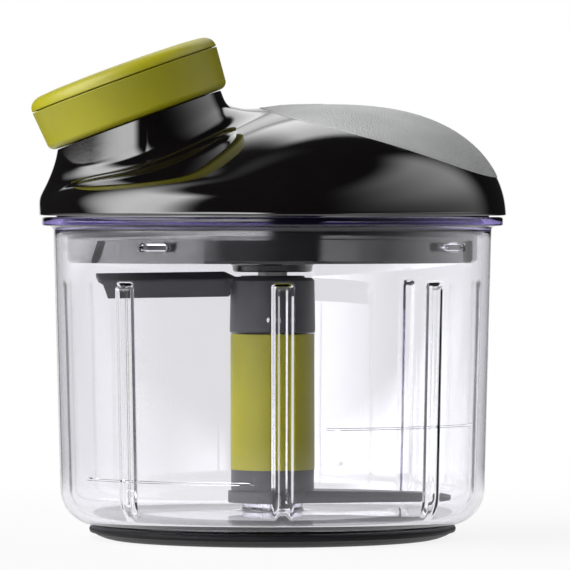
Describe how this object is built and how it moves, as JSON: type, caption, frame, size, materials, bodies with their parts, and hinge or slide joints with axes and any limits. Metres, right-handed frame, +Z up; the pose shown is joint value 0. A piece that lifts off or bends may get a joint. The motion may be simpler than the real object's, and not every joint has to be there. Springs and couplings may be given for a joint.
{
  "type": "pull-cord food chopper",
  "caption": "Hand food chopper: clear bowl with a blade arm and a paddle on an upright arbor, and a domed lid whose round leaning handle pulls a cord that spins the arbor.",
  "frame": {"origin": "bowl axis at the table, in the plane of the foot's underside", "axes": "+Z up along the bowl's axis, -X towards the handle, -Y towards the viewer of the picture"},
  "size_m": [0.1395, 0.1374, 0.147],
  "materials": {
    "clear_plastic": "clear polished",
    "foot_rubber": "satin",
    "dark_plastic": "fine satin",
    "green_plastic": "satin",
    "green_sleeve": "satin",
    "black_gloss": "polished",
    "soft_touch": "fine dotted matte",
    "seal_rubber": "matte",
    "white_plastic": "satin",
    "steel": "turned",
    "blade_steel": "ground",
    "cord": "braided"
  },
  "bodies": {
    "bowl": {"bowl": "clear_plastic", "foot_ring": "foot_rubber", "pivot_pin": "steel"},
    "arbor": {"arbor_core": "dark_plastic", "arbor_sleeve": "green_sleeve", "arbor_hub": "dark_plastic", "blade_carrier": "dark_plastic", "chopping_blade": "blade_steel", "paddle_cap": "dark_plastic", "cap_pin": "steel"},
    "lid": {"lid_dome": "black_gloss", "palm_grip": "soft_touch", "lid_base": "dark_plastic", "seal_ring": "seal_rubber", "drive_bushing": "white_plastic", "spool_bridge": "dark_plastic", "spool_axle": "steel", "recoil_spring": "steel", "guide_bracket": "steel", "guide_pin": "steel", "cord_eyelet": "steel", "lid_screws": "steel", "bridge_screws": "steel", "pull_cord": "cord"},
    "spool": {"cord_spool": "white_plastic"},
    "drive": {"drive_shaft": "white_plastic", "clutch_spring": "steel"},
    "clutch": {"ratchet_disc": "white_plastic"},
    "roller": {"guide_roller": "white_plastic"},
    "handle": {"handle_base": "green_plastic", "handle_cap": "green_plastic", "cord_ferrule": "steel", "handle_screws": "steel"}
  },
  "joints": [
    {"name": "lid_lift", "type": "slide", "parent": "bowl", "child": "lid", "axis": [0, 0, 1], "range_m": [0, 0.12]},
    {"name": "arbor_spin", "type": "hinge", "parent": "bowl", "child": "arbor", "pos_m": [0, 0, 0.01], "axis": [0, 0, 1], "continuous": true},
    {"name": "handle_pull", "type": "slide", "parent": "lid", "child": "handle", "axis": [-0.342, 0, 0.9397], "range_m": [0, 0.3], "stiffness_N_per_m": 20, "springref_m": -0.15, "deforming": ["pull_cord"]},
    {"name": "spool_spin", "type": "hinge", "parent": "lid", "child": "spool", "pos_m": [0, 0, 0.0961], "axis": [0, 0, 1], "range_deg": [0, 956], "deforming": ["recoil_spring"]},
    {"name": "drive_spin", "type": "hinge", "parent": "lid", "child": "drive", "pos_m": [0, 0, 0.081], "axis": [0, 0, 1], "continuous": true},
    {"name": "clutch_slip", "type": "slide", "parent": "drive", "child": "clutch", "axis": [0, 0, -1], "range_m": [0, 0.0016], "stiffness_N_per_m": 500, "springref_m": -0.003, "deforming": ["clutch_spring"]},
    {"name": "roller_spin", "type": "hinge", "parent": "lid", "child": "roller", "pos_m": [-0.03054, 0.00263, 0.1012], "axis": [-0.5156, 0.8568, 0], "continuous": true}
  ],
  "couplings": [
    {"joint": "spool_spin", "follows": "handle_pull", "rad_per_m": 55.556},
    {"joint": "drive_spin", "follows": "handle_pull", "rad_per_m": 55.556},
    {"joint": "arbor_spin", "follows": "handle_pull", "rad_per_m": 55.556},
    {"joint": "roller_spin", "follows": "handle_pull", "rad_per_m": 196.08}
  ]
}
